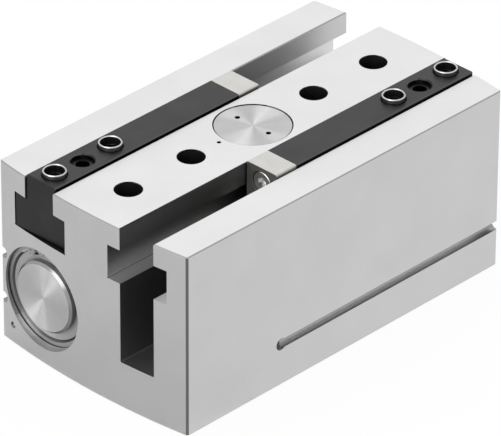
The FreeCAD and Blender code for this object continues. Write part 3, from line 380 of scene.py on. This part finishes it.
def screw_steel():
    """Zinc plated steel: a cool grey that clouds a little, with its edges painted brighter as a highlight."""
    material, tree, surface, place = new_material("zinc_plated_steel", {"Metallic": 1.0})
    tone = clouds(tree, place, size=1.5, dark="#d2d2d1", light="#dadad9")
    # painted highlight along the edges
    wire(tree, surface, {"Base Color": edges(tree, tone, width=0.15, colour="#e2e2e1")})
    relief(tree, surface, marks(tree, place, (0.4, 0.4, 0.4)), depth=0.002, smooth=0.28, rough=0.4)
    return material


def spring_steel():
    """Stamped from rolled strip and oiled: a neutral grey with the lines of the rolls.

    Its round edge is painted dark as shade, but for the ears, which are painted bright as light and made
    rougher; its hollows are painted darker as shade.
    """
    bottom, top = RING_EARS
    material, tree, surface, place = new_material("oiled_spring_steel", {"Metallic": 1.0})
    rolled = clouds(tree, place, size=2.5, dark="#a4a4a3", light="#adadac")
    rim = add(tree, "Math", {0: facing(tree)["X"], 1: SQUARE}, operation="LESS_THAN").outputs[0]
    ears = within(tree, place, Vector((-BEYOND, -BEYOND, bottom)), Vector((BEYOND, BEYOND, top)))
    edge_shade = add(tree, "Math", {0: rim, 1: ears}, operation="SUBTRACT", use_clamp=True).outputs[0]
    lit_ears = add(tree, "Math", {0: rim, 1: ears}, operation="MULTIPLY").outputs[0]
    # painted shade on the round edge, painted light on the ears
    shaded = hollow_shade(tree, layered(tree, rolled, (edge_shade, "#5a5a59")), reach=2.0, clear=0.6, darkest=0.3)
    wire(tree, surface, {"Base Color": layered(tree, shaded, (lit_ears, "#e6e6e6"))})
    relief(tree, surface, marks(tree, place, (0.25, 4.0, 0.25)), depth=0.002, smooth=0.3, rough=0.42,
           where=lit_ears, change=0.4)
    return material


def sintered_bronze():
    """Sintered bronze: a warm brown gold, speckled by the pores that hold its oil."""
    material, tree, surface, place = new_material("sintered_bronze", {"Metallic": 1.0})
    tone = clouds(tree, place, size=0.6, dark="#94733f", light="#ba955c")
    wire(tree, surface, {"Base Color": edges(tree, tone, width=0.15, colour="#cfab70")})
    relief(tree, surface, marks(tree, place, (0.35, 0.35, 0.35)), depth=0.006, smooth=0.34, rough=0.52)
    return material


def nitrile_rubber():
    """Moulded black rubber: dull, with a faint grey bloom and a fine grain."""
    material, tree, surface, place = new_material("nitrile_rubber", {"Metallic": 0.0})
    wire(tree, surface, {"Base Color": clouds(tree, place, size=3.0, dark="#181818", light="#262625")})
    relief(tree, surface, marks(tree, place, (0.3, 0.3, 0.3)), depth=0.004, smooth=0.5, rough=0.68)
    return material


def bonded_ferrite():
    """Magnet powder in plastic: charcoal grey with a fine glitter of grains."""
    material, tree, surface, place = new_material("bonded_ferrite", {"Metallic": 0.3})
    wire(tree, surface, {"Base Color": clouds(tree, place, size=0.4, dark="#29292b", light="#424244")})
    relief(tree, surface, marks(tree, place, (0.3, 0.3, 0.3)), depth=0.004, smooth=0.45, rough=0.65)
    return material


# Which piece has which finish

def middle(node):
    """The middle of a piece's box, in metres."""
    low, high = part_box(node)
    return (low + high) / 2


FINISHES = {
    "anodised_aluminium": blasted_aluminium(),
    "pale_alloy": milled_alloy(),
    "black_nitrided_steel": black_nitrided_steel(),
    "hardened_steel": hobbed_steel(),
    "ground_steel": ground_steel("ground_steel", (0.25, 9.0, 9.0), smooth=0.08, rough=0.18),
    "polished_steel": polished_steel(),
    "screw_steel": screw_steel(),
    "spring_steel": spring_steel(),
    "bronze": sintered_bronze(),
    "nitrile_rubber": nitrile_rubber(),
    "bonded_magnet": bonded_ferrite(),
}
OWN_FINISHES = {
    "pinion_cover": turned_aluminium(
        "turned_aluminium_upright", UPRIGHT, middle("pinion_cover"), dark="#b8b8b8", light="#bebebe"),
    "pinion_shaft": ground_steel("ground_steel_upright", (9.0, 9.0, 0.25), smooth=0.08, rough=0.18),
    "air_channel_plugs": ground_steel("burnished_steel", (0.4, 0.4, 0.4), smooth=0.34, rough=0.46),
}
for side in ("left", "right"):
    turned = turned_aluminium(
        "turned_aluminium_" + side, LENGTHWISE, middle(side + "_end_cover"), dark="#cacaca", light="#d0d0d0")
    OWN_FINISHES[side + "_end_cover"] = turned
    OWN_FINISHES[side + "_piston"] = turned

SLOT_OF = {part["node"]: part["material_slot"] for part in frame["record"]["subparts"]}
for name, piece in nodes.items():
    finish = OWN_FINISHES.get(name) or FINISHES[SLOT_OF[name]]
    piece.data.materials.clear()
    piece.data.materials.append(finish)


# Floor, light and camera

FLOOR_SIZE = 12.0       # metres
HOLE_REACH = 60.0       # millimetres within which walls close in a spot of the floor
FLOOR_OPEN = (0.1, 0.3)     # a spot less open than the first is dark, one more open than the second is white
FLOOR_GLOW = 0.93       # share of the floor's white that no shadow touches
SKY_LIGHT = 0.75        # strength of the surround as a light
LAMP_DISTANCE = 2.2     # metres from the gripper
LAMPS = {               # direction from the gripper, side in metres, power in watts
    "back_light": ((0.54, 0.54, 0.65), 2.4, 4.8),
    "back_left_light": ((0.16, 0.44, 0.80), 1.0, 3.8),
    "back_right_light": ((0.60, 0.15, 0.78), 0.7, 2.5),
    "left_light": ((-0.75, 0.60, 0.27), 0.9, 3.0),
    "front_light": ((-0.75, -0.12, 0.62), 1.5, 18.0),
}
FLAG_CORNERS = ((-420, -37), (-63, 300))        # millimetres
FLAG_HEIGHT = 0.3
CAMERA_PLACE = (-1081.41, -1052.86, 958.10)     # millimetres
CAMERA_ANGLES = (44.2550, 31.6528, 0.2509)      # degrees: turned left, tipped down, leaning
FOCAL_PIXELS = 6148.82      # focal length in the photograph's pixels
PHOTO_WIDTH = 501           # the photograph's width in pixels
SENSOR_WIDTH = 36.0         # millimetres


def seen_directly(tree):
    """1 for what the camera sees straight, in a mirror or through glass."""
    ray = add(tree, "LightPath").outputs
    seen = add(tree, "Math", {0: ray["Is Camera Ray"], 1: ray["Is Glossy Ray"]}, operation="MAXIMUM")
    both = add(tree, "Math", {0: seen.outputs[0], 1: ray["Is Transmission Ray"]}, operation="MAXIMUM")
    return both.outputs[0]


def floor():
    """A white floor well beyond the picture, dark only where a hole of the gripper closes it in."""
    bpy.ops.mesh.primitive_plane_add(size=FLOOR_SIZE)
    ground = bpy.context.object
    ground.name = "floor"
    material = bpy.data.materials.new("white_floor")
    material.use_nodes = True
    tree = material.node_tree
    tree.nodes.clear()
    openness = add(tree, "AmbientOcclusion", {"Distance": HOLE_REACH * MM}, samples=PROBES).outputs["AO"]
    closed, clear = FLOOR_OPEN
    lit = add(tree, "MapRange", {
        "Value": openness, "From Min": closed, "From Max": clear, "To Max": FLOOR_GLOW})
    share = add(tree, "Math", {0: seen_directly(tree), 1: lit.outputs[0]}, operation="MULTIPLY").outputs[0]
    chalk = add(tree, "BsdfDiffuse", {"Color": linear("#f4f4f4")}).outputs[0]
    white = add(tree, "Emission", {"Color": linear("#ffffff"), "Strength": 1.0}).outputs[0]
    both = add(tree, "MixShader", {0: share, 1: chalk, 2: white}).outputs[0]
    add(tree, "OutputMaterial", {"Surface": both})
    ground.data.materials.append(material)


def sky():
    """A white surround that gives less light than its white would."""
    world = bpy.data.worlds.new("studio")
    bpy.context.scene.world = world
    world.use_nodes = True
    tree = world.node_tree
    level = add(tree, "MapRange", {"Value": seen_directly(tree), "To Min": SKY_LIGHT, "To Max": 1.0})
    wire(tree, tree.nodes["Background"], {"Color": linear("#ffffff"), "Strength": level.outputs[0]})


def lamp(name, direction, size, power):
    """A square soft box that faces the gripper."""
    light = bpy.data.lights.new(name, "AREA")
    light.size = size
    light.energy = power
    box = bpy.data.objects.new(name, light)
    towards = Vector(direction).normalized()
    box.location = towards * LAMP_DISTANCE
    box.rotation_mode = "QUATERNION"
    box.rotation_quaternion = towards.to_track_quat("Z", "Y")
    bpy.context.scene.collection.objects.link(box)


def flag(name, colour):
    """A grey card close above the floor before the near end, which only the metal's reflections show: a
    painted darker reflection in the near end.
    """
    (near, right), (far, left) = FLAG_CORNERS
    corners = [(near, right), (far, right), (far, left), (near, left)]
    mesh = bpy.data.meshes.new(name)
    mesh.from_pydata([Vector((x, y, FLAG_HEIGHT)) * MM for x, y in corners], [], [(0, 1, 2, 3)])
    card = bpy.data.objects.new(name, mesh)
    bpy.context.scene.collection.objects.link(card)
    card.visible_camera = card.visible_shadow = card.visible_diffuse = False
    shade_card = new_material(name + "_felt", {"Base Color": linear(colour), "Roughness": 0.9})[0]
    mesh.materials.append(shade_card)


def camera():
    """The photograph's own camera: a long lens from the near right, above the gripper."""
    yaw, pitch, roll = (math.radians(angle) for angle in CAMERA_ANGLES)
    forward = Vector((math.cos(pitch) * math.cos(yaw), math.cos(pitch) * math.sin(yaw), -math.sin(pitch)))
    level = Vector((math.sin(yaw), -math.cos(yaw), 0))
    upright = level.cross(forward)
    right = math.cos(roll) * level + math.sin(roll) * upright
    up = math.cos(roll) * upright - math.sin(roll) * level
    lens = bpy.data.cameras.new("camera")
    lens.sensor_width = SENSOR_WIDTH
    lens.lens = FOCAL_PIXELS / PHOTO_WIDTH * SENSOR_WIDTH
    eyepiece = bpy.data.objects.new("camera", lens)
    turn = Matrix((right, up, -forward)).transposed().to_4x4()
    eyepiece.matrix_world = Matrix.Translation(Vector(CAMERA_PLACE) * MM) @ turn
    bpy.context.scene.collection.objects.link(eyepiece)
    bpy.context.scene.camera = eyepiece


floor()
sky()
for name, (direction, size, power) in LAMPS.items():
    lamp(name, direction, size, power)
flag("left_flag", "#d6d6d6")
camera()
bpy.context.scene.view_settings.view_transform = "Standard"
